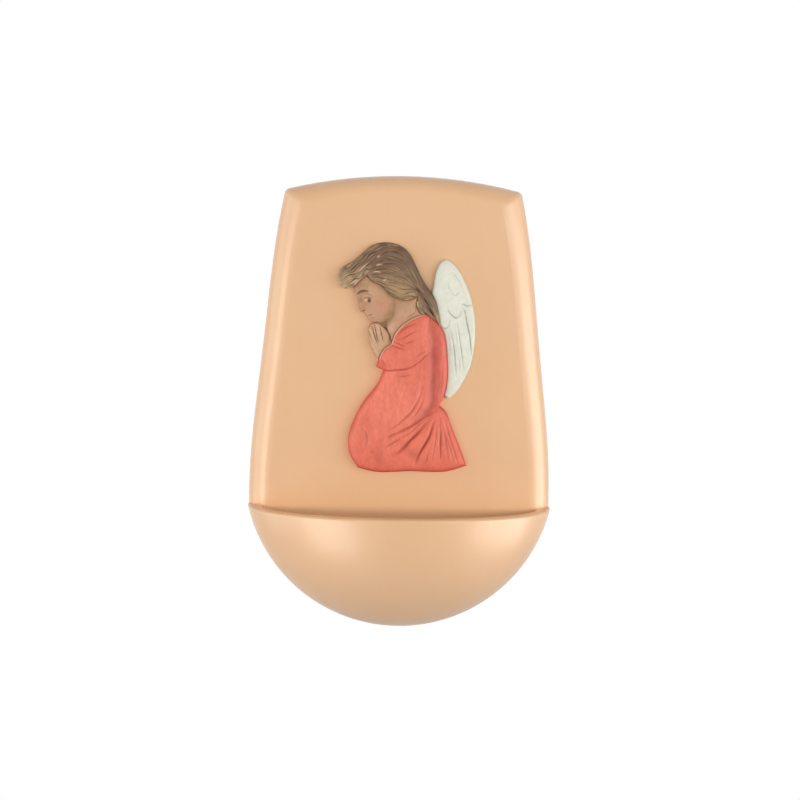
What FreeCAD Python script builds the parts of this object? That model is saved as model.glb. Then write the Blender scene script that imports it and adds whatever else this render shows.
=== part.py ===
"""Wall-hung holy water font: a tapered wooden board, a half-round bowl with a lift-out
water liner, and an applied painted carving of a kneeling angel.

Millimetres, +Z up, and the font faces -Y. The origin lies on the flat back of the board,
at mid height and mid width, so the wall is the plane y = 0.
"""
import FreeCAD, Part
import math
import os
from FreeCAD import Vector

# Board
font_height = 150.0
board_thickness = 15.0
board_top_width = 78.8
board_top_rise = 4.9
board_edge_flat = 8.0
side_round = 7.0
top_round = 4.5
corner_round = 2.0
board_inset_at_rim = 0.05
side_curve_shares = [
    (0.0, 0.0), (0.1, 0.008), (0.2, 0.062), (0.4, 0.262), (0.6, 0.468), (0.8, 0.678), (1.0, 1.0),
]
round_sections = 7

# Bowl
bowl_radius = 51.8
bowl_projection = 48.0
rim_below_centre = 11.8
rim_wall = 4.2
rim_wall_in_front = 5.0
bowl_floor = 8.0
rim_edge_radius = 0.8

# Water liner, and the slide that lifts it clear of the carving
liner_wall = 1.2
liner_gap = 0.3
liner_below_rim = 6.0
liner_lip_width = 1.1
liner_lip_height = 1.6

# Dowels between board and bowl
dowel_diameter = 3.0
dowel_length = 10.0
dowel_gap = 0.1
dowel_angles = (-33.0, 0.0, 33.0)

# Keyhole hanger plate in the back
plate_width = 17.0
plate_height = 46.0
plate_thickness = 1.5
plate_gap = 0.15
plate_centre_below_top = 31.0
keyhole_entry_diameter = 9.0
keyhole_slot_width = 4.4
keyhole_slot_length = 9.0
keyhole_entry_below_centre = 5.0
head_pocket_depth = 5.0
head_pocket_margin = 1.5
screw_from_plate_end = 5.0
screw_diameter = 3.0
screw_length = 11.0
screw_tip_length = 2.5
screw_head_diameter = 5.8
screw_head_height = 1.4
screw_slot_width = 0.8
screw_slot_depth = 0.6
screw_gap = 0.1

# Carving: the box that the figure fills on the board, and its turn in degrees
figure_width = 45.5
figure_height = 76.0
figure_left = -20.9
figure_above_rim = 12.4
figure_turn = 1.0
piece_gap = 0.16
carving_step = 1.15
outline_step = 0.9

# Carving: height of each piece at its edge, round of the edge, and crown in the middle
robe_edge = 2.0
robe_rise = 2.1
robe_edge_round = 4.5
robe_crown = 0.9
sleeve_edge = 3.1
sleeve_rise = 2.0
sleeve_edge_round = 4.0
sleeve_crown = 0.5
hair_edge = 2.4
hair_rise = 2.0
hair_edge_round = 4.5
hair_crown = 1.0
face_edge = 2.0
face_rise = 1.7
face_edge_round = 4.0
face_crown = 0.6
hands_edge = 2.6
hands_rise = 1.3
hands_edge_round = 2.4
hands_crown = 0.2
wing_edge = 1.6
wing_rise = 1.2
wing_edge_round = 3.0
wing_crown = 0.7
crown_reach = 12.0
fold_depth = 1.1
soft_fold_depth = 0.6
fold_half_width = 2.3
feather_depth = 0.5
fine_half_width = 1.5
brow_depth = 0.35

# Pins that hold the carving to the board
pin_diameter = 2.0
pin_length = 6.0
pin_in_board = 3.6
pin_gap = 0.08

# Every cut runs this far past the face that it opens
overrun = 1.0

top = font_height / 2
bottom = -font_height / 2
bowl_centre = bottom + bowl_radius
rim = bowl_centre - rim_below_centre
rim_half_width = math.sqrt(bowl_radius**2 - rim_below_centre**2)
front = -board_thickness
reach = font_height
plate_centre = top - plate_centre_below_top
figure_bottom = rim + figure_above_rim

# Outlines of the carving. Each run is a smooth curve or a straight line between two corners,
# in shares of the figure's width and height.
robe_shares = [
    [(0.14, 0.018), (0.25, 0.0), (0.52, 0.0), (0.80, 0.0), (0.93, 0.024)],
    [(0.93, 0.024), (0.91, 0.06), (0.86, 0.14), (0.815, 0.21), (0.785, 0.255), (0.735, 0.286)],
    [(0.735, 0.286), (0.775, 0.345), (0.793, 0.45), (0.782, 0.555), (0.755, 0.62), (0.70, 0.66),
     (0.66, 0.677)],
    [(0.66, 0.677), (0.58, 0.60), (0.43, 0.52), (0.325, 0.44)],
    [(0.325, 0.44), (0.285, 0.385), (0.20, 0.32), (0.12, 0.24), (0.072, 0.16), (0.078, 0.08),
     (0.14, 0.018)],
]
sleeve_shares = [
    [(0.275, 0.46), (0.32, 0.447), (0.42, 0.445), (0.52, 0.455), (0.62, 0.50), (0.69, 0.535)],
    [(0.69, 0.535), (0.69, 0.60), (0.66, 0.677)],
    [(0.66, 0.677), (0.63, 0.69)],
    [(0.63, 0.69), (0.54, 0.67), (0.47, 0.643), (0.42, 0.61), (0.385, 0.56)],
    [(0.385, 0.56), (0.33, 0.535), (0.295, 0.495), (0.275, 0.46)],
]
hair_shares = [
    [(-0.003, 0.853), (0.014, 0.818), (0.05, 0.80), (0.095, 0.807), (0.15, 0.84), (0.20, 0.868)],
    [(0.20, 0.868), (0.22, 0.845), (0.30, 0.817), (0.38, 0.77), (0.45, 0.752), (0.52, 0.751),
     (0.575, 0.765)],
    [(0.575, 0.765), (0.572, 0.72), (0.60, 0.69), (0.65, 0.687), (0.70, 0.66), (0.742, 0.64)],
    [(0.742, 0.64), (0.722, 0.708), (0.69, 0.765), (0.643, 0.81), (0.60, 0.856), (0.56, 0.908),
     (0.50, 0.965), (0.42, 0.993), (0.34, 1.0), (0.25, 0.987), (0.14, 0.934), (0.07, 0.906),
     (0.02, 0.884), (-0.003, 0.853)],
]
face_shares = [
    [(0.12, 0.85), (0.112, 0.80), (0.135, 0.762), (0.148, 0.73), (0.158, 0.703)],
    [(0.158, 0.703), (0.195, 0.69), (0.215, 0.672), (0.255, 0.65), (0.30, 0.647), (0.345, 0.652)],
    [(0.345, 0.652), (0.355, 0.62), (0.39, 0.56)],
    [(0.39, 0.56), (0.52, 0.60), (0.62, 0.68)],
    [(0.62, 0.68), (0.60, 0.78), (0.45, 0.86), (0.25, 0.90), (0.12, 0.85)],
]
hands_shares = [
    [(0.295, 0.475), (0.265, 0.515), (0.235, 0.55), (0.219, 0.59), (0.214, 0.625)],
    [(0.214, 0.625), (0.235, 0.645), (0.28, 0.651), (0.325, 0.634), (0.36, 0.61), (0.38, 0.578)],
    [(0.38, 0.578), (0.40, 0.54), (0.36, 0.48), (0.295, 0.475)],
]
wing_shares = [
    [(0.675, 0.76), (0.70, 0.84), (0.735, 0.903), (0.78, 0.924), (0.84, 0.905), (0.90, 0.853),
     (0.95, 0.785), (0.985, 0.70), (0.997, 0.60), (0.985, 0.52)],
    [(0.985, 0.52), (0.95, 0.44), (0.89, 0.372), (0.83, 0.328), (0.795, 0.318), (0.765, 0.34)],
    [(0.765, 0.34), (0.72, 0.45), (0.65, 0.62), (0.64, 0.72), (0.675, 0.76)],
]

# Main folds, locks and feathers, as lines along which the front dips
robe_fold_shares = [
    [(0.70, 0.21), (0.60, 0.16), (0.50, 0.11), (0.40, 0.07)],
    [(0.70, 0.19), (0.65, 0.13), (0.60, 0.07), (0.555, 0.03)],
    [(0.72, 0.25), (0.735, 0.14), (0.74, 0.03)],
    [(0.70, 0.60), (0.71, 0.45), (0.71, 0.32)],
]
robe_soft_fold_shares = [
    [(0.70, 0.26), (0.60, 0.235), (0.50, 0.195), (0.36, 0.15)],
    [(0.60, 0.40), (0.575, 0.32), (0.52, 0.26), (0.43, 0.22)],
    [(0.81, 0.17), (0.83, 0.03)],
]
sleeve_fold_shares = [
    [(0.42, 0.565), (0.46, 0.545), (0.50, 0.535)],
]
hair_lock_shares = [
    [(0.30, 0.93), (0.20, 0.91), (0.10, 0.87)],
    [(0.42, 0.90), (0.54, 0.84), (0.62, 0.77)],
    [(0.40, 0.84), (0.52, 0.79), (0.66, 0.70)],
]
brow_shares = [
    [(0.14, 0.772), (0.175, 0.79), (0.21, 0.787)],
]
finger_shares = [
    [(0.25, 0.64), (0.265, 0.60), (0.285, 0.56)],
    [(0.29, 0.64), (0.305, 0.605), (0.32, 0.57)],
]
feather_shares = [
    [(0.80, 0.70), (0.85, 0.67), (0.90, 0.71), (0.98, 0.727)],
    [(0.90, 0.72), (0.935, 0.63), (0.965, 0.52)],
    [(0.865, 0.65), (0.895, 0.54), (0.905, 0.45)],
    [(0.82, 0.62), (0.845, 0.50), (0.857, 0.40)],
]
robe_pin_shares = [(0.33, 0.16), (0.60, 0.40)]
wing_pin_share = (0.86, 0.74)
hair_pin_share = (0.40, 0.88)


def box_between(low, high):
    """Box from its lowest corner to its highest corner."""
    size = high - low
    return Part.makeBox(size.x, size.y, size.z, low)


def cylinder_y(diameter, length, x, y, z):
    """Cylinder that runs from y towards -Y."""
    return Part.makeCylinder(diameter / 2, length, Vector(x, y, z), Vector(0, -1, 0))


def smooth_edge(points):
    """Line through two points, or a spline through more."""
    if len(points) == 2:
        return Part.LineSegment(points[0], points[1]).toShape()
    curve = Part.BSplineCurve()
    curve.interpolate(points)
    return curve.toShape()


def board_section(side_inset, top_inset, y):
    """Front-view outline of the board at depth y, drawn in from the sides and the top."""
    half_at_rim = rim_half_width - board_inset_at_rim - side_inset
    half_at_top = board_top_width / 2 - side_inset
    shoulder = top - board_top_rise - top_inset
    crown = top - top_inset
    rise = shoulder - rim
    right = []
    for height_share, inset_share in side_curve_shares:
        half = half_at_rim - (half_at_rim - half_at_top) * inset_share
        right.append(Vector(half, y, rim + rise * height_share))
    corner = right[-1]
    along_side = (right[-2] - corner).normalize()
    arc = Part.Arc(corner, Vector(0, y, crown), Vector(-corner.x, y, corner.z))
    along_top = Vector(*arc.tangent(arc.FirstParameter)[0]).normalize()
    if along_top.x > 0:
        along_top = along_top * -1
    half_angle = along_side.getAngle(along_top) / 2
    leg = corner_round / math.tan(half_angle)
    side_end = corner + along_side * leg
    top_end = corner + along_top * leg
    bisector = (along_side + along_top).normalize()
    middle = corner + bisector * (corner_round / math.sin(half_angle) - corner_round)
    right[-1] = side_end
    left = [Vector(-p.x, p.y, p.z) for p in right]
    mirrored_top = Vector(-top_end.x, y, top_end.z)
    mirrored_middle = Vector(-middle.x, y, middle.z)
    return Part.Wire([
        smooth_edge(right),
        Part.Arc(side_end, middle, top_end).toShape(),
        Part.Arc(top_end, Vector(0, y, crown), mirrored_top).toShape(),
        Part.Arc(mirrored_top, mirrored_middle, left[-1]).toShape(),
        smooth_edge(left[::-1]),
        Part.LineSegment(left[0], right[0]).toShape(),
    ])


def round_end():
    """The board's half-round lower end, behind the bowl and cut level at the rim."""
    disc = cylinder_y(2 * bowl_radius, board_thickness, 0, 0, bowl_centre)
    return below_and_before(disc, overrun, rim)


def ellipsoid(inset_x, inset_y, inset_z, poles=Vector(0, 1, 0)):
    """Ellipsoid centred on the board's front, its seam running from pole to pole. With no
    insets it is the bowl's outside."""
    scale = FreeCAD.Matrix()
    scale.scale(
        bowl_radius - inset_x,
        bowl_projection - board_thickness - inset_y,
        bowl_radius - inset_z,
    )
    shape = Part.makeSphere(1, Vector(0, 0, 0), poles).transformGeometry(scale)
    shape.translate(Vector(0, front, bowl_centre))
    return shape


def below_and_before(shape, y, z):
    """The part of a shape in front of the plane y and under the level z."""
    keep = box_between(Vector(-reach, -reach, bottom - reach), Vector(reach, y, z))
    return shape.common(keep)


def dowel_places():
    """Places in the glued crescent between board and bowl, at each dowel angle. Each keeps
    as far from the hollow at the joint as from the outside at the dowel's front end."""
    dowel_end = dowel_length / 2 + dowel_gap
    outer = bowl_radius * math.sqrt(1 - (dowel_end / (bowl_projection - board_thickness))**2)
    across = bowl_radius - rim_wall
    down = bowl_radius - bowl_floor
    places = []
    for angle in dowel_angles:
        sine = math.sin(math.radians(angle))
        cosine = math.cos(math.radians(angle))
        inner = 1 / math.hypot(sine / across, cosine / down)
        radius = (outer + inner) / 2
        places.append(Vector(radius * sine, front, bowl_centre - radius * cosine))
    return places


def screw_places():
    """The two screws, each the same way in from its end of the plate."""
    offset = plate_height / 2 - screw_from_plate_end
    return [Vector(0, 0, plate_centre - offset), Vector(0, 0, plate_centre + offset)]


def figure_point(share):
    """Point on the board's front for a share of the figure's width and height. The figure is
    turned a little about the middle of its box."""
    middle = Vector(figure_left + figure_width / 2, front, figure_bottom + figure_height / 2)
    across = share[0] * figure_width - figure_width / 2
    up = share[1] * figure_height - figure_height / 2
    sine = math.sin(math.radians(figure_turn))
    cosine = math.cos(math.radians(figure_turn))
    return middle + Vector(across * cosine - up * sine, 0, across * sine + up * cosine)


def pin_places():
    """Each pin's place, with the piece of the carving that it holds."""
    places = [("robe", figure_point(share)) for share in robe_pin_shares]
    places.append(("wing", figure_point(wing_pin_share)))
    places.append(("hair", figure_point(hair_pin_share)))
    return places


def rounded_plate(width, height, y, depth, z):
    """Upright plate with rounded ends, from y towards -Y."""
    radius = width / 2
    straight = height - width
    body = box_between(
        Vector(-radius, y - depth, z - straight / 2), Vector(radius, y, z + straight / 2)
    )
    for end in (-straight / 2, straight / 2):
        body = body.fuse(cylinder_y(width, depth, 0, y, z + end))
    return body.removeSplitter()


def make_back_board():
    """Board with rounded front edges above the rim and a half-round end below it."""
    slab = Part.Face(board_section(0, 0, 0)).extrude(Vector(0, -board_edge_flat, 0))
    sections = []
    for step in range(round_sections):
        angle = math.pi / 2 * step / (round_sections - 1)
        inward = 1 - math.cos(angle)
        y = -board_edge_flat - (board_thickness - board_edge_flat) * math.sin(angle)
        sections.append(board_section(side_round * inward, top_round * inward, y))
    upper = slab.fuse(Part.makeLoft(sections, True, False))
    board = upper.fuse(round_end())
    recess = rounded_plate(
        plate_width + 2 * plate_gap,
        plate_height + 2 * plate_gap,
        overrun,
        overrun + plate_thickness,
        plate_centre,
    )
    board = board.cut(recess)
    pocket_width = keyhole_entry_diameter + 2 * head_pocket_margin
    pocket_height = pocket_width + keyhole_slot_length
    entry = plate_centre - keyhole_entry_below_centre
    pocket = rounded_plate(
        pocket_width,
        pocket_height,
        overrun,
        overrun + plate_thickness + head_pocket_depth,
        entry + keyhole_slot_length / 2,
    )
    board = board.cut(pocket)
    for place in screw_places():
        depth = overrun + screw_length + screw_gap
        board = board.cut(cylinder_y(screw_diameter + 2 * screw_gap, depth, place.x, overrun, place.z))
    for place in dowel_places():
        depth = dowel_length / 2 + dowel_gap
        hole = Part.makeCylinder(
            dowel_diameter / 2 + dowel_gap, depth + overrun,
            Vector(place.x, front - overrun, place.z), Vector(0, 1, 0),
        )
        board = board.cut(hole)
    for _, place in pin_places():
        hole = Part.makeCylinder(
            pin_diameter / 2 + pin_gap, pin_in_board + pin_gap + overrun,
            Vector(place.x, front - overrun, place.z), Vector(0, 1, 0),
        )
        board = board.cut(hole)
    return board


def rounded_bowl(poles):
    """Bowl with its rim's edges rounded, from ellipsoids with their poles on one axis."""
    body = below_and_before(ellipsoid(0, 0, 0, poles), front, rim)
    bowl = body.cut(ellipsoid(rim_wall, rim_wall_in_front, bowl_floor, poles))
    curved = []
    for edge in bowl.Edges:
        is_level = all(abs(vertex.Point.z - rim) < overrun / 100 for vertex in edge.Vertexes)
        if is_level and edge.BoundBox.YLength > 2 * rim_wall:
            curved.append(edge)
    return bowl.makeFillet(min(rim_edge_radius, rim_wall / 4), curved)


def make_bowl():
    """Half-round bowl, open at the back where the board closes it. The kernel can't round
    every rim with poles in front and behind, and then upright poles give the same bowl."""
    try:
        bowl = rounded_bowl(Vector(0, 1, 0))
    except Part.OCCError:
        bowl = rounded_bowl(Vector(0, 0, 1))
    for place in dowel_places():
        depth = dowel_length / 2 + dowel_gap + overrun
        bowl = bowl.cut(cylinder_y(
            dowel_diameter + 2 * dowel_gap, depth, place.x, front + overrun, place.z,
        ))
    return bowl


def make_bowl_dowels():
    pieces = []
    for place in dowel_places():
        pieces.append(cylinder_y(
            dowel_diameter, dowel_length, place.x, front + dowel_length / 2, place.z,
        ))
    return Part.makeCompound(pieces)


def make_water_liner():
    """Thin cup that follows the hollow of the bowl, with an inward lip to lift it by."""
    gap = liner_gap
    back = front - gap
    level = rim - liner_below_rim
    outside = ellipsoid(rim_wall + gap, rim_wall_in_front + gap, bowl_floor + gap)
    cup = below_and_before(outside, back, level)
    inset = gap + liner_wall
    inside = ellipsoid(rim_wall + inset, rim_wall_in_front + inset, bowl_floor + inset)
    cup = cup.cut(below_and_before(inside, back - liner_wall, level - liner_lip_height))
    inset = gap + liner_wall + liner_lip_width
    mouth = ellipsoid(rim_wall + inset, rim_wall_in_front + inset, bowl_floor + inset)
    mouth = below_and_before(mouth, back - liner_wall - liner_lip_width, level + overrun)
    under = box_between(
        Vector(-reach, -reach, bottom), Vector(reach, reach, level - liner_lip_height - overrun),
    )
    return cup.cut(mouth.cut(under))


def make_hanger_plate():
    """Steel plate with a keyhole, set flush in the back of the board."""
    plate = rounded_plate(plate_width, plate_height, 0, plate_thickness, plate_centre)
    entry = plate_centre - keyhole_entry_below_centre
    depth = plate_thickness + 2 * overrun
    plate = plate.cut(cylinder_y(keyhole_entry_diameter, depth, 0, overrun, entry))
    seat = entry + keyhole_slot_length
    plate = plate.cut(cylinder_y(keyhole_slot_width, depth, 0, overrun, seat))
    plate = plate.cut(box_between(
        Vector(-keyhole_slot_width / 2, overrun - depth, entry),
        Vector(keyhole_slot_width / 2, overrun, seat),
    ))
    for place in screw_places():
        plate = plate.cut(screw_solid(place, screw_gap, False))
    return plate


def screw_solid(place, grown, slotted):
    """Countersunk wood screw with its head flush at y = 0, or its hole when grown."""
    radius = screw_diameter / 2 + grown
    head = screw_head_diameter / 2 + grown
    tip = screw_length - screw_tip_length
    points = [
        Vector(0, 0, 0),
        Vector(head, 0, 0),
        Vector(radius, -screw_head_height, 0),
        Vector(radius, -tip, 0),
        Vector(0, -screw_length, 0),
        Vector(0, 0, 0),
    ]
    screw = Part.Face(Part.makePolygon(points)).revolve(Vector(0, 0, 0), Vector(0, 1, 0), 360)
    if slotted:
        screw = screw.cut(box_between(
            Vector(-screw_head_diameter, -screw_slot_depth, -screw_slot_width / 2),
            Vector(screw_head_diameter, overrun, screw_slot_width / 2),
        ))
    screw.translate(place)
    return screw


def make_hanger_screws():
    return Part.makeCompound([screw_solid(place, 0, True) for place in screw_places()])


def make_relief_pins():
    pieces = []
    for _, place in pin_places():
        pieces.append(cylinder_y(pin_diameter, pin_length, place.x, front + pin_in_board, place.z))
    return Part.makeCompound(pieces)


def outline_face(runs, grown=0):
    """Flat face of an outline on the board's front, moved outwards by the amount grown."""
    points = [figure_point(share) for run in runs for share in run[:-1]]
    area = 0
    for here, ahead in zip(points, points[1:] + points[:1]):
        area += here.x * ahead.z - ahead.x * here.z
    turn = 1 if area > 0 else -1
    moved = []
    for index, here in enumerate(points):
        before = (here - points[index - 1]).normalize()
        after = (points[(index + 1) % len(points)] - here).normalize()
        along = (before + after).normalize()
        moved.append(here + Vector(along.z, 0, -along.x) * grown * turn)
    edges = []
    first = 0
    for run in runs:
        last = first + len(run) - 1
        edges.append(smooth_edge([moved[i % len(moved)] for i in range(first, last + 1)]))
        first = last
    return Part.Face(Part.Wire(edges))


def largest(shape, measure):
    """The largest face or solid of a shape."""
    pieces = shape.Faces if measure == "Area" else shape.Solids
    return max(pieces, key=lambda piece: getattr(piece, measure))


def boundary_points(face):
    """Points along the outer edge of a flat face, in order."""
    points = []
    for edge in face.OuterWire.OrderedEdges:
        count = max(2, int(edge.Length / outline_step) + 1)
        run = edge.discretize(Number=count)
        if edge.Orientation == "Reversed":
            run = run[::-1]
        points.extend((p.x, p.z) for p in run[:-1])
    return points


def distance_to_line(x, z, line):
    """Shortest distance from a point to a chain of straight pieces."""
    nearest = reach
    for (x0, z0), (x1, z1) in zip(line, line[1:]):
        dx = x1 - x0
        dz = z1 - z0
        length = dx * dx + dz * dz
        share = max(0, min(1, ((x - x0) * dx + (z - z0) * dz) / length)) if length else 0
        nearest = min(nearest, math.hypot(x - x0 - share * dx, z - z0 - share * dz))
    return nearest


def is_inside(x, z, loop):
    """Whether a point lies inside a closed chain of points."""
    inside = False
    for (x0, z0), (x1, z1) in zip(loop, loop[1:]):
        if (z0 > z) != (z1 > z) and x < (x1 - x0) * (z - z0) / (z1 - z0) + x0:
            inside = not inside
    return inside


def smooth_line(shares):
    """Points along the smooth curve through a line's shares."""
    edge = smooth_edge([figure_point(share) for share in shares])
    count = max(2, int(edge.Length / outline_step) + 1)
    return [(p.x, p.z) for p in edge.discretize(Number=count)]


def carve(face, edge, rise, edge_round, crown, dips):
    """Carved piece: a flat face raised to a front that rounds up from its edge, swells
    towards the middle and dips along its folds. Each dip is (lines, depth, half width)."""
    loop = boundary_points(face)
    loop.append(loop[0])
    lines = [(smooth_line(line), depth, half) for shares, depth, half in dips for line in shares]
    bounds = face.BoundBox
    margin = carving_step
    columns = max(6, int((bounds.XLength + 2 * margin) / carving_step) + 1)
    rows = max(6, int((bounds.ZLength + 2 * margin) / carving_step) + 1)
    grid = []
    for column in range(columns):
        x = bounds.XMin - margin + (bounds.XLength + 2 * margin) * column / (columns - 1)
        strip = []
        for row in range(rows):
            z = bounds.ZMin - margin + (bounds.ZLength + 2 * margin) * row / (rows - 1)
            inward = distance_to_line(x, z, loop)
            if not is_inside(x, z, loop):
                inward = -min(inward, edge_round / 4)
            near = min(inward / edge_round, 1)
            far = max(0, min(inward / crown_reach, 1))
            height = edge + rise * near * (2 - near) + crown * far * far * (3 - 2 * far)
            for line, depth, half in lines:
                away = distance_to_line(x, z, line) / half
                if away < 1:
                    height -= depth * (1 - away * away)**2 * max(0, near)
            strip.append(Vector(x, front - height, z))
        grid.append(strip)
    surface = Part.BSplineSurface()
    surface.interpolate(grid)
    block = surface.toShape().extrude(Vector(0, board_thickness, 0))
    if block.Volume < 0:
        block.reverse()
    prism = face.extrude(Vector(0, -board_thickness, 0))
    return largest(prism.common(block), "Volume")


def drilled(solid, name):
    """Cut the holes of the pins that hold this piece."""
    for owner, place in pin_places():
        if owner == name:
            depth = pin_length - pin_in_board + pin_gap + overrun
            solid = solid.cut(cylinder_y(
                pin_diameter + 2 * pin_gap, depth, place.x, front + overrun, place.z,
            ))
    return solid


def make_carving():
    """The six coloured pieces of the angel, side by side on the board."""
    sleeve = outline_face(sleeve_shares)
    around_sleeve = outline_face(sleeve_shares, piece_gap)
    around_robe = outline_face(robe_shares, piece_gap)
    around_hair = outline_face(hair_shares, piece_gap)
    around_hands = outline_face(hands_shares, piece_gap)
    robe = largest(outline_face(robe_shares).cut(around_sleeve), "Area")
    hair = largest(outline_face(hair_shares).cut(around_robe), "Area")
    hands = largest(outline_face(hands_shares).cut([around_sleeve, around_robe]), "Area")
    face = outline_face(face_shares).cut([around_hair, around_robe, around_sleeve, around_hands])
    face = largest(face, "Area")
    wing = largest(outline_face(wing_shares).cut([around_robe, around_hair]), "Area")
    robe_dips = [
        (robe_fold_shares, fold_depth, fold_half_width),
        (robe_soft_fold_shares, soft_fold_depth, fold_half_width),
    ]
    sleeve_dips = [(sleeve_fold_shares, soft_fold_depth, fold_half_width)]
    hair_dips = [(hair_lock_shares, soft_fold_depth, fold_half_width)]
    face_dips = [(brow_shares, brow_depth, fine_half_width)]
    hands_dips = [(finger_shares, feather_depth, fine_half_width)]
    wing_dips = [(feather_shares, feather_depth, fine_half_width)]
    robe_solid = carve(robe, robe_edge, robe_rise, robe_edge_round, robe_crown, robe_dips)
    sleeve_solid = carve(
        sleeve, sleeve_edge, sleeve_rise, sleeve_edge_round, sleeve_crown, sleeve_dips,
    )
    hair_solid = carve(hair, hair_edge, hair_rise, hair_edge_round, hair_crown, hair_dips)
    face_solid = carve(face, face_edge, face_rise, face_edge_round, face_crown, face_dips)
    hands_solid = carve(
        hands, hands_edge, hands_rise, hands_edge_round, hands_crown, hands_dips,
    )
    wing_solid = carve(wing, wing_edge, wing_rise, wing_edge_round, wing_crown, wing_dips)
    return {
        "robe": drilled(robe_solid, "robe"),
        "sleeve": sleeve_solid,
        "hair": drilled(hair_solid, "hair"),
        "face_and_neck": face_solid,
        "hands": hands_solid,
        "wing": drilled(wing_solid, "wing"),
    }


def main():
    parts = {
        "back_board": make_back_board(),
        "bowl": make_bowl(),
        "bowl_dowels": make_bowl_dowels(),
        "water_liner": make_water_liner(),
        "hanger_plate": make_hanger_plate(),
        "hanger_screws": make_hanger_screws(),
        "relief_pins": make_relief_pins(),
    }
    parts.update(make_carving())
    os.makedirs("parts", exist_ok=True)
    for name, shape in parts.items():
        shape.exportStep(os.path.join("parts", name + ".step"))
        print(name, "solids", len(shape.Solids), "valid", shape.isValid(), "volume", round(shape.Volume, 1))


main()
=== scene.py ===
"""Holy water font: the finish of its lacquered board and bowl, and its painted carving of a
kneeling angel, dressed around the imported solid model.

The carving's pieces are height fields over the board's front. Places on it are thousandths
of the figure's width and height, lengths inside the shape functions are millimetres, and a
mesh is written in metres.
"""
import math

import bpy
import numpy as np
from mathutils import Euler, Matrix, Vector


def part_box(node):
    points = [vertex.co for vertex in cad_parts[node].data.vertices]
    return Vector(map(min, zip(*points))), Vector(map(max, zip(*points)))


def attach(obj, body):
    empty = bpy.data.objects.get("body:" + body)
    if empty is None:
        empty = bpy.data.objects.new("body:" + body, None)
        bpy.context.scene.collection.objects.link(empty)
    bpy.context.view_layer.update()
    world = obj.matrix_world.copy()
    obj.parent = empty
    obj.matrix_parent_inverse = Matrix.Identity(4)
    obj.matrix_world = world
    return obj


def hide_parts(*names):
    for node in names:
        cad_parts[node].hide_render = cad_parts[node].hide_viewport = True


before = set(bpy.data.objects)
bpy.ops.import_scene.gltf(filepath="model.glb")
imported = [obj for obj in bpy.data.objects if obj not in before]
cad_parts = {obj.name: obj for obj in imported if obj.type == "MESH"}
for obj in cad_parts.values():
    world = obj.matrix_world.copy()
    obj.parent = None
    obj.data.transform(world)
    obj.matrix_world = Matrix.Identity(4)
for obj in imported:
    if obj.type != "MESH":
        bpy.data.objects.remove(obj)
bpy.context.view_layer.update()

bl_info = {
    "name": "Holy Water Font",
    "version": (1, 0, 0),
    "blender": (4, 5, 0),
    "location": "3D View > Sidebar > Font",
    "description": "Builds the carving, the finishes and the studio of a wall-hung holy water font",
    "category": "Object",
}

MM = 0.001
WALL_TO_FRONT = -1000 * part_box("robe")[1][1]
# Reach that takes in every point, reach of the paint from a border, and how many pairs of
# a point and a span are measured at once
FAR = 1e9
PAINT_REACH = 3.0
BLOCK_SIZE = 4_000_000
# Carved pieces: reach of the crown, and for the rim, which moves onto the outline, the step
# that finds the slope, the least slope and the passes. Edges over the sharp angle stay sharp.
CROWN_REACH = 12.0
NUDGE = 0.02
LEAST_SLOPE = 0.3
RIM_PASSES = 4
SHARP_ANGLE = math.radians(55)
# Hair: points and waves of a strand, its sideways wave in millimetres, how far the wave
# shifts from one guide to the next, widths of the grooves, and the turn that varies them
STRAND_POINTS = 48
WAVES = 3.4
WAVE_HEIGHT = 0.42
WAVE_SHIFT = 1.9
GROOVE_WIDTH = 0.23
LOCK_GROOVE_WIDTH = 0.55
GOLDEN_ANGLE = 2.399
# Softboxes: degrees to the right and up, distance, width and height in metres
SOFTBOXES = {
    "key": (36, 5, 1.0, 0.80, 0.24),
    "front": (-8, 0.8, 1.15, 1.00, 0.12),
    "left": (-42, -18, 0.7, 0.36, 0.70),
    "side": (-82, -6, 0.8, 0.5, 0.8),
    "far": (84, -6, 0.8, 0.5, 0.8),
    "right": (68, -16, 0.7, 0.62, 0.60),
}
# Paints: masks with the colour that each lays on and its strength, how mottled the paint
# # is, and the stretch of its clouds. On the robe, the first mask also lays painted shade
# # down its back and along its outline; on the hair, the pale mask lays painted highlights.
PAINTS = {
    "robe": ([("rich", "robe_rich", 0.6), ("trim", "mark_pale", 0.8)], 0.19, (1, 1, 0.45)),
    "skin": (
        [("blush", "blush", 1), ("trim", "mark_pale", 0.8), ("dark", "mark_dark", 0.95)], 0.16, (1, 1, 1)),
    "hair": ([("trim", "mark_pale", 0.8)], 0.15, (1, 1, 1)),
    "wing": ([], 0.08, (1, 1, 1)),
}

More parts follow.
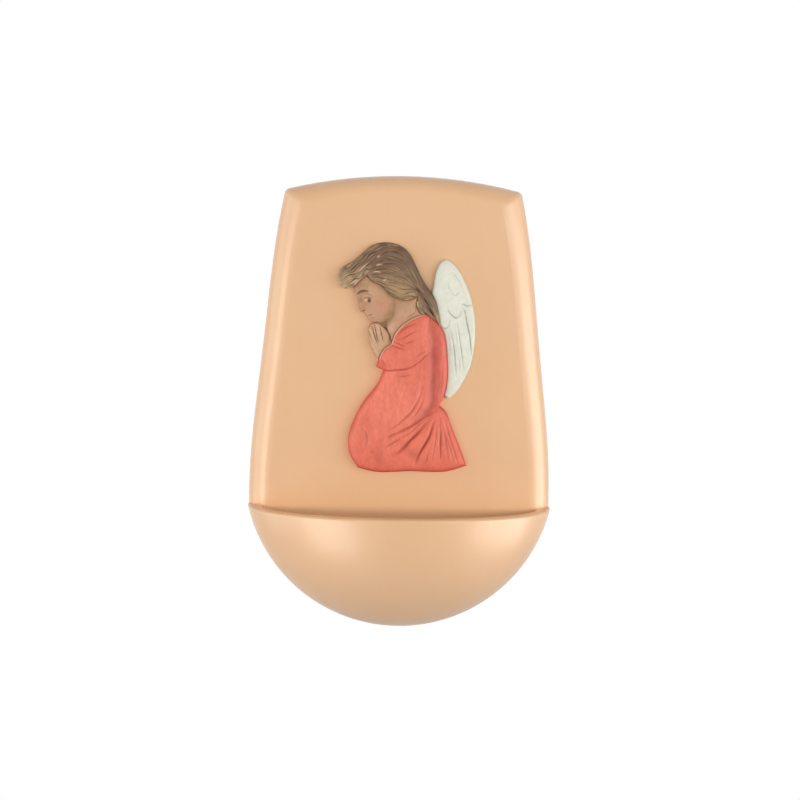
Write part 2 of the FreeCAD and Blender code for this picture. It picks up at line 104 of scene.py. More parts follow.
# Outlines of the carving in thousandths of the figure's width and height. Each run is a
# smooth curve between two corners.
ROBE_OUTLINE = [
    [(140, 18), (250, 0), (520, 0), (800, 0), (930, 24)],
    [(930, 24), (910, 60), (860, 140), (815, 210), (785, 255), (735, 286)],
    [(735, 286), (775, 345), (793, 450), (782, 555), (755, 620), (700, 660), (660, 677)],
    [(660, 677), (580, 600), (430, 520), (325, 440)],
    [(325, 440), (285, 385), (200, 320), (120, 240), (72, 160), (78, 80), (140, 18)],
]
SLEEVE_OUTLINE = [
    [(275, 460), (320, 447), (420, 445), (520, 455), (620, 500), (690, 535)],
    [(690, 535), (690, 600), (660, 677)],
    [(660, 677), (630, 690)],
    [(630, 690), (540, 670), (470, 643), (420, 610), (385, 560)],
    [(385, 560), (330, 535), (295, 495), (275, 460)],
]
HAIR_OUTLINE = [
    [(-3, 853), (14, 818), (50, 800), (98, 804), (153, 833), (207, 858)],
    [(207, 858), (235, 839), (305, 815), (380, 772), (450, 753), (520, 751), (575, 765)],
    [(575, 765), (572, 720), (600, 690), (640, 675), (690, 645), (742, 635)],
    [(742, 635), (722, 708), (690, 765), (643, 810), (600, 856), (560, 908), (500, 965), (420, 993),
     (340, 1000), (250, 987), (140, 934), (70, 906), (20, 884), (-3, 853)],
]
FACE_OUTLINE = [
    [(120, 850), (112, 800), (135, 762), (148, 730), (158, 703)],
    [(158, 703), (195, 690), (215, 672), (255, 650), (300, 647), (345, 652)],
    [(345, 652), (355, 620), (390, 560)],
    [(390, 560), (520, 600), (620, 680)],
    [(620, 680), (600, 780), (450, 860), (250, 900), (120, 850)],
]
HANDS_OUTLINE = [
    [(295, 475), (265, 515), (235, 550), (219, 590), (214, 625)],
    [(214, 625), (235, 645), (280, 651), (325, 634), (360, 610), (380, 578)],
    [(380, 578), (400, 540), (360, 480), (295, 475)],
]
WING_OUTLINE = [
    [(675, 760), (700, 840), (735, 903), (780, 924), (840, 905), (900, 853), (950, 785), (985, 700),
     (997, 600), (985, 520)],
    [(985, 520), (950, 440), (890, 372), (830, 328), (795, 318), (765, 340)],
    [(765, 340), (720, 450), (650, 620), (640, 720), (675, 760)],
]

# Chisel cuts: line in thousandths, depth and half width in millimetres
ROBE_CUTS = [
    ([(660, 225), (643, 216), (581, 172), (512, 131), (464, 98), (395, 69)], 0.95, 0.52),
    ([(697, 228), (677, 185), (657, 149), (622, 112), (588, 75), (552, 30)], 0.95, 0.48),
    ([(735, 235), (742, 175), (741, 120), (744, 35)], 0.55, 0.34),
    ([(752, 215), (775, 150), (788, 95), (800, 30)], 0.3, 0.3),
    ([(770, 225), (800, 165), (832, 105), (868, 35)], 0.4, 0.32),
    ([(715, 205), (708, 150), (694, 89), (676, 36)], 0.35, 0.32),
    ([(770, 180), (812, 100), (838, 45)], 0.22, 0.26),
    ([(660, 100), (645, 62), (630, 28)], 0.3, 0.28),
    ([(610, 50), (604, 34), (600, 20)], 0.22, 0.26),
    ([(715, 272), (643, 247), (574, 218), (519, 197), (464, 181), (395, 160), (362, 150)], 0.6, 0.42),
    ([(690, 244), (622, 222), (560, 193), (500, 162), (440, 142)], 0.25, 0.34),
    ([(470, 153), (395, 127), (343, 104)], 0.38, 0.34),
    ([(420, 171), (385, 160), (350, 150)], 0.25, 0.3),
    ([(604, 390), (598, 345), (567, 300), (528, 262), (467, 228), (406, 198), (345, 178)], 0.42, 0.45),
    ([(622, 330), (596, 288), (556, 252), (500, 222)], 0.22, 0.32),
    ([(717, 494), (731, 373), (710, 300)], 0.35, 0.4),
    ([(755, 480), (752, 400), (740, 330)], 0.25, 0.35),
    ([(400, 425), (474, 419), (545, 430)], 0.15, 0.3),
    ([(185, 190), (201, 165), (206, 135), (199, 118)], 0.3, 0.5),
    ([(225, 88), (262, 82)], 0.2, 0.3),
]
# Broad hollows of the robe, with painted shade laid in them
ROBE_HOLLOWS = [
    ([(680, 655), (694, 560), (696, 454), (690, 353), (676, 292), (622, 251), (548, 219)], 0.85, 1.6),
    ([(330, 125), (290, 70), (340, 30)], 0.25, 2.2),
    ([(460, 120), (560, 60), (640, 30)], 0.25, 1.6),
]
SLEEVE_CUTS = [
    ([(386, 560), (429, 546), (478, 539)], 0.45, 0.34),
    ([(405, 572), (440, 562), (486, 552)], 0.35, 0.28),
    ([(420, 590), (447, 611), (494, 632), (563, 651)], 0.35, 0.34),
    ([(430, 580), (480, 590), (530, 606), (582, 620)], 0.3, 0.36),
    ([(480, 562), (520, 570), (560, 580)], 0.2, 0.34),
    ([(315, 500), (330, 480), (350, 462)], 0.2, 0.4),
    ([(560, 500), (600, 520), (640, 530)], 0.15, 0.4),
]
FINGER_CUTS = [
    ([(242, 640), (256, 608), (270, 583), (284, 562)], 0.55, 0.18),
    ([(260, 648), (272, 612), (284, 583), (297, 566)], 0.55, 0.18),
    ([(302, 636), (312, 605), (321, 583), (323, 572)], 0.45, 0.18),
    ([(222, 620), (234, 592), (248, 570)], 0.3, 0.16),
    # Deep cut behind the hands, with painted shadow laid in it
    ([(318, 648), (342, 634), (364, 616), (376, 595), (372, 566)], 0.8, 0.42),
]
WING_CUTS = [
    ([(899, 716), (917, 698), (933, 657), (948, 613), (959, 573), (963, 533), (967, 506)], 0.55, 0.22),
    ([(906, 710), (922, 700), (928, 690)], 0.25, 0.18),
    ([(862, 655), (873, 617), (881, 582), (892, 537), (900, 501), (911, 448)], 0.4, 0.22),
    ([(812, 620), (832, 573), (844, 519), (851, 466), (861, 412)], 0.4, 0.22),
    ([(845, 640), (860, 580), (868, 520)], 0.14, 0.18),
    ([(796, 610), (810, 560), (818, 510)], 0.14, 0.2),
    ([(875, 520), (882, 460), (880, 405)], 0.12, 0.18),
    ([(820, 792), (830, 777), (847, 769), (868, 777), (879, 790)], 0.18, 0.2),
    ([(800, 856), (820, 868), (847, 857), (884, 823), (902, 800)], 0.14, 0.24),
    ([(800, 835), (802, 805), (815, 785)], 0.1, 0.22),
]
# Jaw, nostril, mouth, brow, front of the brow, lashes, lid and fold of the neck
FACE_CUTS = [
    ([(322, 641), (350, 652), (382, 668), (398, 697), (396, 735)], 0.5, 0.6),
    ([(178, 706), (189, 704), (200, 708)], 0.2, 0.22),
    ([(209, 683), (222, 684), (236, 686), (252, 694)], 0.25, 0.24),
    ([(132, 771), (148, 783), (170, 791), (194, 792), (224, 786)], 1, 0.42),
    ([(136, 775), (160, 787), (200, 790)], 1, 0.6),
    ([(180, 754), (204, 761), (234, 762), (254, 755)], 1, 0.17),
    ([(160, 773), (178, 778), (200, 779), (228, 776), (258, 767)], 0.14, 0.2),
    ([(568, 745), (559, 706), (531, 684), (500, 674)], 0.2, 0.32),
]
# Feather edges: the side to the right of the line, walked in order, lies lower. Each has
# its drop and the length over which the surface comes back, in millimetres.
WING_STEPS = [
    ([(797, 722), (800, 705), (812, 692), (833, 679), (859, 671), (884, 684), (896, 702),
      (893, 720)], 0.42, 1.8),
    ([(890, 724), (903, 731), (929, 724), (959, 724), (990, 726)], 0.34, 1.6),
    ([(744, 641), (754, 631), (770, 626), (791, 628), (806, 644), (803, 675)], 0.3, 1.4),
]
# Humps: centre in thousandths, two radii in millimetres, and height in millimetres for a
# form or strength for a mask
CLOTH_FORMS = [
    ((380, 270), (8.5, 14.0), 0.75),
    ((200, 150), (4.5, 7.0), 0.35),
    ((800, 100), (3.5, 7.0), 0.25),
    ((745, 500), (1.4, 9.0), 0.45),
]
# Painted light on the robe
ROBE_LIGHTS = [
    ((380, 300), (8.0, 15.0), 1.2),
    ((620, 120), (5.0, 5.0), 0.35),
    ((740, 420), (1.2, 8.0), 0.35),
]
FACE_FORMS = [
    ((310, 720), (3.2, 3.4), 0.55),
    ((170, 715), (1.3, 1.5), 0.3),
    ((240, 664), (1.6, 1.2), 0.25),
    ((205, 754), (1.9, 1.4), -0.3),
    ((218, 749), (0.95, 0.75), 0.2),
]
# Painted shade on the face
FACE_SHADES = [
    ((425, 735), (2.4, 2.6), 0.34),
    ((390, 800), (3.6, 1.8), 0.42),
    ((160, 755), (1.0, 1.7), 0.62),
    ((205, 736), (1.5, 0.6), 0.34),
    ((172, 712), (0.9, 1.6), 0.5),
    ((160, 815), (3.2, 1.3), 0.5),
]
# Painted light on the face and neck
FACE_LIGHTS = [
    ((250, 800), (3.0, 2.2), 0.35),
    ((470, 690), (3.0, 2.2), 0.25),
    ((380, 632), (1.7, 1.9), 0.9),
    ((270, 765), (2.4, 1.4), 0.3),
    ((228, 779), (1.3, 0.5), 0.4),
]
FACE_BLUSH = [
    ((307, 722), (3.0, 2.7), 0.34),
    ((195, 715), (1.1, 1.3), 0.35),
]
# Guides of the hair: strands run along each, and the strands between two are blended
FRINGE_GUIDES = [
    [(352, 993), (278, 978), (210, 951), (149, 923), (89, 897), (35, 880), (12, 858)],
    [(372, 972), (312, 953), (244, 925), (183, 897), (122, 872), (62, 858), (18, 842)],
    [(345, 935), (291, 917), (230, 892), (176, 868), (122, 844), (68, 830), (26, 822)],
    [(298, 905), (257, 892), (217, 880), (176, 860), (136, 838), (95, 818), (58, 806)],
]
LOCK_GUIDES = [
    [(380, 985), (460, 972), (515, 940), (555, 895), (600, 842), (645, 800), (685, 762), (715, 710),
     (738, 650)],
    [(340, 945), (430, 935), (500, 905), (545, 865), (590, 820), (635, 775), (675, 735), (705, 695),
     (733, 648)],
    [(260, 895), (350, 900), (430, 895), (500, 865), (555, 820), (610, 765), (655, 725), (690, 690),
     (727, 646)],
    [(210, 862), (290, 868), (370, 868), (450, 856), (525, 832), (590, 790), (640, 740), (680, 695),
     (720, 645)],
    [(225, 848), (290, 845), (360, 834), (430, 824), (505, 815), (575, 787), (625, 742), (662, 705),
     (712, 652)],
    [(285, 825), (345, 806), (400, 790), (460, 786), (525, 788), (575, 773), (610, 735), (642, 702),
     (695, 664)],
    [(350, 792), (395, 768), (440, 757), (485, 754), (525, 756), (560, 762), (590, 730), (615, 700),
     (660, 680)],
]
# Painted highlights on the hair: pale strokes where glints fall
GLINT_STROKES = [
    [(152, 877), (180, 894), (211, 911)],
    [(277, 901), (295, 906), (318, 907)],
    [(256, 873), (285, 875), (308, 871)],
    [(326, 837), (336, 838), (348, 841)],
    [(284, 938), (303, 944)],
]
# Lines that only the paint follows: painted shade down the hair's right side, painted light
# # along the fringe's lower edge, painted shade along the jaw, and the sleeve's edges
CROWN_SIDE = [(460, 985), (540, 930), (600, 856), (643, 810), (690, 765), (722, 708)]
FRINGE_EDGE = [(40, 812), (88, 818), (135, 839), (200, 878), (235, 893)]
JAW_SHADE = [(405, 760), (396, 720), (375, 685), (335, 655), (300, 645)]
NECKLINE = SLEEVE_OUTLINE[3]
CUFF = SLEEVE_OUTLINE[4][:3]
SLEEVE_BACK = SLEEVE_OUTLINE[1]
SLEEVE_UNDER = SLEEVE_OUTLINE[0]


def srgb(red, green, blue):
    """A colour given as 0 to 255 steps of display colour, in linear light."""
    shown = np.array([red, green, blue]) / 255
    linear = np.where(shown <= 0.04045, shown / 12.92, ((shown + 0.055) / 1.055) ** 2.4)
    return (*linear.tolist(), 1.0)


def number(name, description, default, **options):
    return bpy.props.FloatProperty(name=name, description=description, default=default, **options)


def shade(name, description, red, green, blue):
    """A colour to set in the panel, given as 0 to 255 steps of display colour."""
    return bpy.props.FloatVectorProperty(
        name=name, description=description, subtype="COLOR", size=4, min=0, max=1,
        default=srgb(red, green, blue),
    )


class FontCarvingSettings(bpy.types.PropertyGroup):
    """Sizes of the carving in millimetres."""

    figure_width: number("Figure width", "Width of the angel with the wing, in mm", 45.5)
    figure_height: number("Figure height", "Height of the angel, in mm", 76.0)
    figure_left: number("Figure left", "Left side of the angel from mid width, in mm", -20.9)
    figure_bottom: number("Figure bottom", "Hem of the robe from mid height, in mm", -22.6)
    figure_turn: number(
        "Figure turn", "How far the angel leans to the left", math.radians(1.0), subtype="ANGLE")
    fine_step: number("Fine step", "Grid step of face, hands and hair, in mm", 0.13)
    broad_step: number("Broad step", "Grid step of robe, sleeve and wing, in mm", 0.19)
    strand_depth: number("Strand depth", "Depth of the cuts between hair strands, in mm", 0.30)


class FontFinishSettings(bpy.types.PropertyGroup):
    """Colours of the lacquer and the paints."""

    lacquer: shade("Lacquer", "Peach lacquer of board and bowl", 230, 184, 139)
    lacquer_deep: shade("Deep lacquer", "Darker clouds in the lacquer", 225, 175, 129)
    bare_wood: shade("Bare wood", "Dowels and pins", 206, 170, 124)
    liner: shade("Liner", "Moulded water liner", 236, 233, 222)
    steel: shade("Steel", "Hanger plate and screws", 172, 172, 168)
    robe: shade("Robe", "Coral paint of the robe", 230, 112, 86)
    # Painted light on the robe's forward forms
    robe_light: shade("Robe light", "Worn ridges of the robe", 246, 132, 104)
    # Also lays painted shade down the robe's back
    robe_rich: shade("Robe rich", "Deeper red along the robe's edges", 206, 72, 56)
    # Also painted shade along the robe's edges, hem and under the sleeve
    robe_wash: shade("Robe wash", "Brown-red wash in the folds", 138, 52, 38)
    hair: shade("Hair", "Brown paint of the crown", 116, 84, 58)
    hair_olive: shade("Hair olive", "Olive-brown paint of the lower locks", 174, 141, 100)
    # Painted light on the hair's ridges and along the fringe's lower edge
    hair_light: shade("Hair light", "Dry-brushed strands", 222, 192, 150)
    # Also painted shade down the hair's right side and along its edges
    hair_wash: shade("Hair wash", "Dark wash between strands", 66, 44, 24)
    skin: shade("Skin", "Paint of face and hands", 192, 148, 112)
    skin_light: shade("Skin light", "Lit skin", 220, 176, 142)
    # Also painted shade at the face's edges, along the jaw and under the hair
    skin_wash: shade("Skin wash", "Olive-brown wash in the skin's cuts", 134, 94, 50)
    blush: shade("Blush", "Red of cheeks and lips", 214, 126, 98)
    wing: shade("Wing", "Off-white paint of the wing", 226, 224, 206)
    # Painted light over the wing's raised middle
    wing_light: shade("Wing light", "White of the raised feathers", 236, 235, 218)
    # Also painted shade along the wing's edges
    wing_wash: shade("Wing wash", "Grey-green wash between feathers", 132, 152, 140)
    mark_dark: shade("Dark line", "Brow, pupil and nostril", 94, 50, 22)
    mark_pale: shade("Pale line", "Trim, eye white and glints", 244, 218, 190)


class FontStudioSettings(bpy.types.PropertyGroup):
    """Camera and lamps."""

    distance: number("Camera distance", "From the camera to the board", 0.9, unit="LENGTH")
    lens: number("Lens", "Focal length in mm on a 36 mm sensor", 119.6)
    turn: number(
        "Camera turn", "How far the camera stands to the left", math.radians(1.0), subtype="ANGLE")
    rise: number(
        "Camera rise", "How far the camera looks down", math.radians(5.6), subtype="ANGLE")
    roll: number("Camera roll", "Lean of the picture", math.radians(0.9), subtype="ANGLE")
    aim_right: number(
        "Aim right", "Where the camera aims, from mid width", 0.0, unit="LENGTH", precision=4)
    aim_up: number(
        "Aim up", "Where the camera aims, from mid height", -0.0006, unit="LENGTH", precision=4)
    floor_height: number("Floor height", "Height of the studio floor", -0.6, unit="LENGTH")
    key_power: number("Key power", "Watts of the softbox on the right of the camera", 3.0)
    front_power: number("Front power", "Watts of the softbox behind the camera", 4.8)
    left_power: number("Left power", "Watts of the softbox on the left", 4.0)
    side_power: number("Side power", "Watts of the softbox level with the left side", 2.4)
    far_power: number("Far power", "Watts of the softbox level with the right side", 1.0)
    right_power: number("Right power", "Watts of the softbox on the right", 5.8)
    sky_strength: number("Sky strength", "Even light from all around", 0.33)
    side_strength: number("Side strength", "Further light from straight left and right", 2.2)
    low_share: number(
        "Low share", "Light from straight below, as a share of that from above", 0.02)


def carving():
    return bpy.context.scene.font_carving


def finish():
    return bpy.context.scene.font_finish


def studio():
    return bpy.context.scene.font_studio


def figure_mm(places):
    """Places in thousandths of the figure's width and height as millimetres across and up.
    The figure is turned by its angle about the middle of its box."""
    sizes = carving()
    spread = np.array([sizes.figure_width, sizes.figure_height])
    middle = np.array([sizes.figure_left, sizes.figure_bottom]) + spread / 2
    across, up = np.moveaxis(np.asarray(places, float) / 1000 * spread - spread / 2, -1, 0)
    sine, cosine = math.sin(sizes.figure_turn), math.cos(sizes.figure_turn)
    return middle + np.stack([across * cosine - up * sine, across * sine + up * cosine], axis=-1)


def thousandths_up(x, z):
    """Thousandths of the figure's height at a point in millimetres."""
    sizes = carving()
    across = x - sizes.figure_left - sizes.figure_width / 2
    up = z - sizes.figure_bottom - sizes.figure_height / 2
    along = up * math.cos(sizes.figure_turn) - across * math.sin(sizes.figure_turn)
    return 1000 * (along / sizes.figure_height + 0.5)


def smooth_path(points, spacing=0.35):
    """Natural cubic spline through points, with the chord length as its parameter: each
    span blends its end points and their bending, and bending is zero at both ends."""
    points = np.asarray(points, float)
    chord = np.concatenate([[0], np.cumsum(np.hypot(*np.diff(points, axis=0).T))])
    count = len(points)
    samples = np.linspace(0, chord[-1], max(2, int(chord[-1] / spacing) + 1))
    span = np.diff(chord)
    system = np.eye(count)
    pull = np.zeros((count, 2))
    inner = np.arange(1, count - 1)
    system[inner, inner - 1] = span[:-1]
    system[inner, inner] = 2 * (span[:-1] + span[1:])
    system[inner, inner + 1] = span[1:]
    slope = np.diff(points, axis=0) / span[:, None]
    pull[inner] = 6 * (slope[1:] - slope[:-1])
    bend = np.linalg.solve(system, pull)
    at = np.clip(np.searchsorted(chord, samples, side="right") - 1, 0, count - 2)
    width = span[at][:, None]
    before = (chord[at + 1] - samples)[:, None] / width
    after = (samples - chord[at])[:, None] / width
    curve = (before**3 - before) * bend[at] + (after**3 - after) * bend[at + 1]
    return before * points[at] + after * points[at + 1] + curve * width**2 / 6


def closed_outline(runs):
    """Closed chain of points around an outline's runs."""
    loop = np.concatenate([smooth_path(figure_mm(run))[:-1] for run in runs])
    return np.concatenate([loop, loop[:1]])


def measure(x, z, path, reach=FAR):
    """Distance to a path, side of it (1 to the left, -1 to the right) and share of the way
    along it, for points within reach of the path's box. Elsewhere the distance is reach."""
    low = path.min(axis=0) - reach
    high = path.max(axis=0) + reach
    near = np.nonzero((x > low[0]) & (x < high[0]) & (z > low[1]) & (z < high[1]))[0]
    start = path[:-1]
    run = np.diff(path, axis=0)
    length = np.hypot(run[:, 0], run[:, 1])
    before = np.concatenate([[0], np.cumsum(length)])
    distance = np.full(len(x), float(reach))
    side = np.ones(len(x))
    along = np.zeros(len(x))
    for block in np.array_split(near, max(1, len(near) * len(run) // BLOCK_SIZE)):
        px = x[block][:, None] - start[:, 0]
        pz = z[block][:, None] - start[:, 1]
        share = np.clip((px * run[:, 0] + pz * run[:, 1]) / length**2, 0, 1)
        away = (px - share * run[:, 0])**2 + (pz - share * run[:, 1])**2
        nearest = away.argmin(axis=1)
        row = np.arange(len(block))
        distance[block] = np.sqrt(away[row, nearest])
        cross = run[nearest, 0] * pz[row, nearest] - run[nearest, 1] * px[row, nearest]
        side[block] = np.where(cross >= 0, 1, -1)
        travelled = before[nearest] + share[row, nearest] * length[nearest]
        along[block] = travelled / before[-1]
    return distance, side, along


def near_line(x, z, line, reach=FAR):
    """What measure gives for the smooth path through a line's places."""
    return measure(x, z, smooth_path(figure_mm(line)), reach)


def depth_inside(x, z, loop):
    """Distance to a closed outline, positive inside it and negative outside. A point is
    inside when a level ray from it crosses the outline an odd number of times."""
    distance, _, _ = measure(x, z, loop)
    inside = np.zeros(len(x), bool)
    x0, z0 = loop[:-1].T
    x1, z1 = loop[1:].T
    for block in np.array_split(np.arange(len(x)), max(1, len(x) * len(x0) // BLOCK_SIZE)):
        level = z[block][:, None]
        spans = (z0 > level) != (z1 > level)
        rise = np.where(z1 == z0, 1, z1 - z0)
        crossing = x0 + (level - z0) * (x1 - x0) / rise
        inside[block] = (spans & (x[block][:, None] < crossing)).sum(axis=1) % 2 == 1
    return np.where(inside, distance, -distance)


def region(own, *others):
    """The own outline's loop, and a function of x and z: how deep a point lies inside it
    and outside all the others."""
    own_loop = closed_outline(own)
    other_loops = [closed_outline(other) for other in others]

    def depth(x, z):
        result = depth_inside(x, z, own_loop)
        for loop in other_loops:
            result = np.minimum(result, -depth_inside(x, z, loop))
        return result

    return own_loop, depth


def quarter(share):
    """Quarter of a circle: rises steeply from 0 and levels out at 1."""
    share = np.clip(share, 0, 1)
    return np.sqrt(1 - (1 - share)**2)


def smooth(share):
    """Smooth step from 0 to 1."""
    share = np.clip(share, 0, 1)
    return share * share * (3 - 2 * share)


def swell(depth, edge, rise, edge_round, crown):
    """Height of a piece: an upright edge, a quarter round and a slow crown."""
    return edge + rise * quarter(depth / edge_round) + crown * smooth(depth / CROWN_REACH)


def strongest(*masks):
    """The strongest of some masks at each point."""
    return np.max(masks, axis=0)


def hump(x, z, centre, radii, height):
    """Smooth hill over a place, with its two radii in millimetres."""
    middle = figure_mm(centre)
    away = ((x - middle[0]) / radii[0])**2 + ((z - middle[1]) / radii[1])**2
    return height * np.exp(-away)


def humps(x, z, rows):
    return [hump(x, z, *row) for row in rows]


def taper(along, margin):
    """Rises from near 0 at both ends of a line to 1 halfway."""
    return np.sqrt(np.clip(np.sin(np.pi * (margin + (1 - 2 * margin) * along)), 0, 1))


def cut(x, z, line, depth, half_width):
    """Chisel cut along a line: deepest on the line, tapered to both ends. Its section is
    a bell, depth times exp of minus the squared distance over the half width."""
    distance, _, along = near_line(x, z, line, 4 * half_width)
    return depth * taper(along, 0.04) * np.exp(-(distance / half_width)**2)


def step_down(x, z, line, drop, recovery):
    """Overlapping edge: the surface falls by drop just right of the line, and comes back
    over the recovery length. Also gives the thin line of wash along the edge."""
    distance, side, along = near_line(x, z, line, 4 * recovery)
    ends = taper(along, 0.05)
    low_side = smooth((0.12 - side * distance) / 0.24)
    line_wash = ends**2 * np.exp(-(distance / 0.26)**2)
    return drop * ends * low_side * np.exp(-distance / recovery), line_wash


def strands(guides, count):
    """Strand paths blended between neighbouring guides, with a wave that shifts slowly from
    one strand to the next."""
    rails = []
    for guide in guides:
        path = smooth_path(figure_mm(guide), 0.1)
        pick = np.linspace(0, len(path) - 1, STRAND_POINTS).round().astype(int)
        rails.append(path[pick])
    rails = np.array(rails)
    place = np.linspace(0, len(guides) - 1, count)
    low = np.clip(place.astype(int), 0, len(guides) - 2)
    share = (place - low)[:, None, None]
    paths = rails[low] * (1 - share) + rails[low + 1] * share
    along = np.linspace(0, 1, STRAND_POINTS)
    phase = place[:, None] * WAVE_SHIFT
    paths[:, :, 1] += WAVE_HEIGHT * np.sin(2 * np.pi * WAVES * along + phase) * np.sin(np.pi * along)
    return paths


def carved_mesh(name, loop, depth_of, height_of, step):
    """Closed mesh of a carved piece. The front is a grid over x and z, kept where the grid
    cell's middle lies inside, with its rim moved onto the outline. The height over the
    board comes from height_of(x, z, depth), which also gives the paint masks. Straight
    sides and a flat back on the board close it."""
    low = loop.min(axis=0) - 2 * step
    high = loop.max(axis=0) + 2 * step
    across = np.arange(low[0], high[0], step)
    up = np.arange(low[1], high[1], step)
    grid_x, grid_z = np.meshgrid(across, up, indexing="ij")
    middle_x = (grid_x[:-1, :-1] + step / 2).ravel()
    middle_z = (grid_z[:-1, :-1] + step / 2).ravel()
    kept = (depth_of(middle_x, middle_z) > 0).reshape(grid_x.shape[0] - 1, -1)
    index = np.arange(grid_x.size).reshape(grid_x.shape)
    corners = (index[:-1, :-1], index[1:, :-1], index[1:, 1:], index[:-1, 1:])
    cells = np.stack([corner[kept] for corner in corners], axis=1)
    used, faces = np.unique(cells, return_inverse=True)
    faces = faces.reshape(cells.shape)
    x = grid_x.ravel()[used]
    z = grid_z.ravel()[used]
    rim = np.bincount(faces.ravel(), minlength=len(used)) < 4
    for _ in range(RIM_PASSES):
        rim_x, rim_z = x[rim], z[rim]
        here = depth_of(rim_x, rim_z)
        slope_x = (depth_of(rim_x + NUDGE, rim_z) - here) / NUDGE
        slope_z = (depth_of(rim_x, rim_z + NUDGE) - here) / NUDGE
        steep = np.maximum(slope_x**2 + slope_z**2, LEAST_SLOPE)
        x[rim] = rim_x - here * slope_x / steep
        z[rim] = rim_z - here * slope_z / steep
    depth = np.maximum(depth_of(x, z), 0)
    depth[rim] = 0
    height, masks = height_of(x, z, depth)
    front = np.stack([x, -WALL_TO_FRONT - height, z], axis=1)
    back = np.stack([x, np.full_like(x, -WALL_TO_FRONT), z], axis=1)
    count = len(x)
    start = faces.T.ravel().astype(np.int64)
    end = np.roll(faces, -1, axis=1).T.ravel().astype(np.int64)
    is_open = ~np.isin(start * count + end, end * count + start)
    start, end = start[is_open], end[is_open]
    sides = np.stack([end, start, start + count, end + count], axis=1)
    all_faces = np.concatenate([faces, faces[:, ::-1] + count, sides])
    doubled = {key: np.tile(value, 2) for key, value in masks.items()}
    return new_mesh(name, np.concatenate([front, back]) * MM, all_faces, doubled)


def new_object(name, data):
    """Object with the given data, in the scene."""
    made = bpy.data.objects.new(name, data)
    bpy.context.scene.collection.objects.link(made)
    return made


def new_mesh(name, vertices, faces, masks):
    """Mesh object from arrays of vertices and quads, with a float attribute per mask."""
    if len(faces) == 0:
        raise RuntimeError("no faces for " + name)
    mesh = bpy.data.meshes.new(name)
    mesh.vertices.add(len(vertices))
    mesh.vertices.foreach_set("co", vertices.astype(np.float32).ravel())
    mesh.loops.add(faces.size)
    mesh.loops.foreach_set("vertex_index", faces.astype(np.int32).ravel())
    mesh.polygons.add(len(faces))
    mesh.polygons.foreach_set("loop_start", np.arange(0, faces.size, 4, dtype=np.int32))
    mesh.polygons.foreach_set("loop_total", np.full(len(faces), 4, dtype=np.int32))
    mesh.update(calc_edges=True)
    mesh.validate()
    for key, value in masks.items():
        layer = mesh.attributes.new(key, "FLOAT", "POINT")
        layer.data.foreach_set("value", np.clip(value, 0, 1).astype(np.float32))
    mesh.polygons.foreach_set("use_smooth", np.ones(len(mesh.polygons), bool))
    mesh.set_sharp_from_angle(angle=SHARP_ANGLE)
    return new_object(name, mesh)


def apply_cuts(x, z, height, wash, cuts, power=2.5, least=0.45, gain=0.7):
    """Lower the height along each cut and let the wash settle in it. Power keeps the wash
    to the cut's deepest part, and its strength is least plus gain times the cut's depth."""
    for line, deep, half_width in cuts:
        amount = cut(x, z, line, deep, half_width)
        height = height - amount
        wash = strongest(wash, (amount / deep)**power * min(1, least + gain * deep))
    return height, wash


def cloth(x, z):
    """Swelling body of robe and sleeve together, with the robe's broad hollows and the painted
    shade in them, so that the two pieces meet without a step at the back of the sleeve."""
    outlines = (ROBE_OUTLINE, SLEEVE_OUTLINE)
    depth = strongest(*(depth_inside(x, z, closed_outline(runs)) for runs in outlines))
    height = swell(depth, 2.9, 1.3, 3.0, 0.5) + sum(humps(x, z, CLOTH_FORMS))
    height, wash = apply_cuts(x, z, height, np.zeros_like(x), ROBE_HOLLOWS, 1, 0, 0.88)
    return height, wash, np.maximum(depth, 0)


def robe_height(x, z, depth):
    """Robe with its cuts, painted shade along its outline, hem and under the sleeve, and painted
    light on the thigh.
    """
    height, wash, inward = cloth(x, z)
    # Painted shade along the outline
    wash = strongest(wash, 0.40 * (1 - smooth(inward / 0.7)))
    height, wash = apply_cuts(x, z, height, wash, ROBE_CUTS)
    # Painted shade along the hem and the lower right side
    for run in ROBE_OUTLINE[:2]:
        border, _, _ = near_line(x, z, run, PAINT_REACH)
        wash = strongest(wash, 1 - smooth((border - 0.15) / 0.35))
    # Painted shadow under the sleeve
    under, _, along = near_line(x, z, SLEEVE_UNDER, PAINT_REACH)
    wash = strongest(wash, 0.85 * (1 - smooth(under / 0.45)) * (1 - smooth((along - 0.8) / 0.2)))
    # Deeper red paint and painted shade along the robe's outline, and painted shade down its back
    rich = strongest(1 - smooth((inward - 0.2) / 1.3), hump(x, z, (735, 460), (3.0, 12.0), 0.6))
    masks = {"wash": wash, "lit": sum(humps(x, z, ROBE_LIGHTS)), "trim": np.zeros_like(x), "rich": rich}
    return height, masks


def sleeve_height(x, z, depth):
    """Upper arm and sleeve, raised over the robe except at its back, with painted shade along
    the raised edge, painted light on the arm, and the pale trim at neck and cuff."""
    height, wash, _ = cloth(x, z)
    back, _, _ = near_line(x, z, SLEEVE_BACK)
    raised = smooth(back / 4.0)
    height += raised * (0.70 * quarter(depth / 0.8) + hump(x, z, (470, 520), (7.0, 4.5), 0.75))
    # Painted shade along the raised edge
    wash = strongest(wash, 0.45 * raised * (1 - smooth(depth / 0.6)))
    height, wash = apply_cuts(x, z, height, wash, SLEEVE_CUTS)
    neck, _, along = near_line(x, z, NECKLINE, PAINT_REACH)
    cuff, _, _ = near_line(x, z, CUFF, PAINT_REACH)
    trim = strongest((1 - smooth((neck - 0.24) / 0.20)) * smooth(along / 0.08),
                     1 - smooth((cuff - 0.18) / 0.20))
    # Painted light on the upper arm and sleeve
    lit = hump(x, z, (420, 500), (6.0, 3.0), 0.5) + hump(x, z, (580, 580), (4.0, 4.0), 0.4)
    rich = hump(x, z, (310, 475), (2.0, 2.5), 0.9)
    return height, {"wash": wash * (1 - trim), "lit": lit, "trim": trim, "rich": rich}


